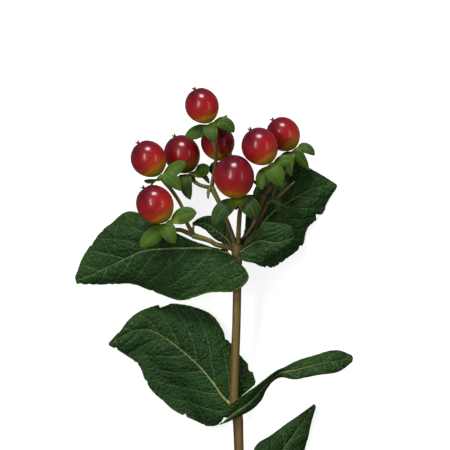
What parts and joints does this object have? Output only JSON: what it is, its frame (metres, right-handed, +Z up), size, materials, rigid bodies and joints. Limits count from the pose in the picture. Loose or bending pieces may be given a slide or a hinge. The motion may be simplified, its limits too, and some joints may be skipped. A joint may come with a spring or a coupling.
{
  "type": "hypericum berry stem",
  "caption": "Cut hypericum stem lying on its back, with paired dark green leaves and a branched head of glossy red berries in green calyces.",
  "frame": {"origin": "centre of the whole outline, on the surface that the stem lies on", "axes": "+Y up the stem towards the berries, +Z up from the surface, +X to the right seen from above"},
  "size_m": [0.098, 0.1938, 0.029],
  "materials": {
    "bark": "satin reddish-brown bark with a paler olive stripe",
    "olive_bark": "satin olive-green young bark",
    "purple_bark": "satin purple-brown young bark",
    "leaf": "satin dark green leaf with paler net veins",
    "sepal": "satin bright green sepal with parallel veins",
    "berry": "glossy crimson skin, yellow-green at the foot"
  },
  "bodies": {
    "root": {"main_stem": "bark", "left_branch": "olive_bark", "upper_left_branch": "olive_bark", "centre_branch": "olive_bark", "right_inner_branch": "purple_bark", "right_outer_branch": "bark", "right_bract": "leaf", "leaf_upper_left": "leaf", "leaf_upper_right": "leaf", "leaf_front_right": "leaf", "leaf_back_left": "leaf", "leaf_middle_left": "leaf", "leaf_middle_right": "leaf", "leaf_lower_right": "leaf", "leaf_lower_left": "leaf", "berry_1": "berry", "berry_2": "berry", "berry_3": "berry", "berry_4": "berry", "berry_5": "berry", "berry_6": "berry", "berry_7": "berry", "berry_8": "berry", "calyx_1": "sepal", "calyx_2": "sepal", "calyx_3": "sepal", "calyx_4": "sepal", "calyx_5": "sepal", "calyx_6": "sepal", "calyx_7": "sepal", "calyx_8": "sepal"}
  },
  "joints": []
}
